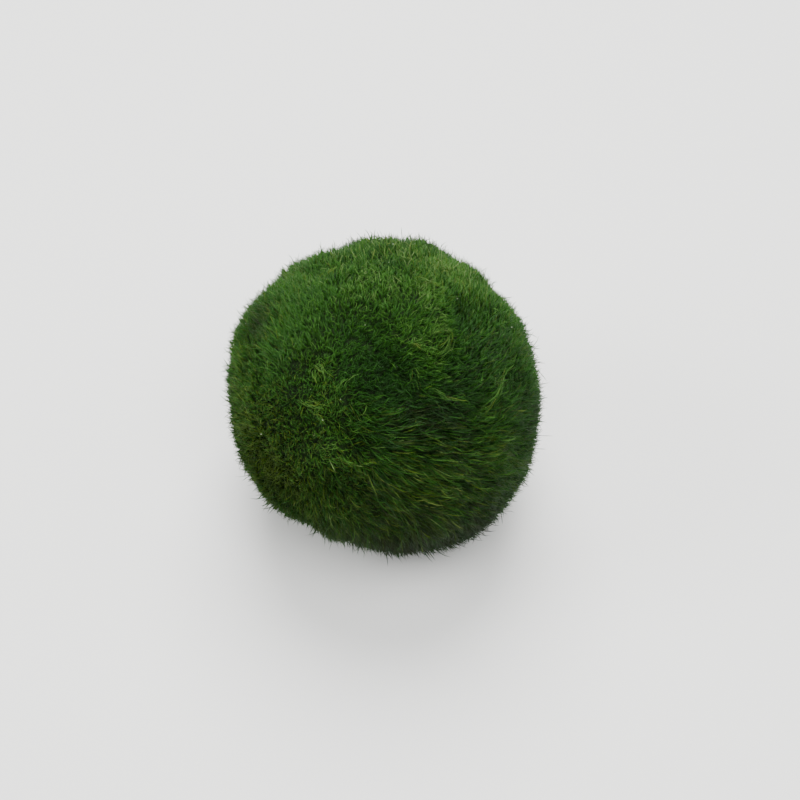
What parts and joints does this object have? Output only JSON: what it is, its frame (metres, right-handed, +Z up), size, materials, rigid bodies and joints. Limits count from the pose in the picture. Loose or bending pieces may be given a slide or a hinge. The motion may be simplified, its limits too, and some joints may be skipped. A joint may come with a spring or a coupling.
{
  "type": "marimo moss ball",
  "caption": "Soft, dense ball of dark green water moss, slightly lumpy, that rests on a small flat spot as an aquarium plant or ornament.",
  "frame": {"origin": "on the surface that the ball rests on, under the middle of its box", "axes": "+Z up, out of the resting spot through the ball; +Y away from the viewer who looks down on the parting in the moss, +X to that viewer's right"},
  "size_m": [0.044, 0.0446, 0.0431],
  "materials": {
    "moss": "soft, velvety, matted fine green fibres"
  },
  "bodies": {
    "root": {"moss_ball": "moss"}
  },
  "joints": []
}
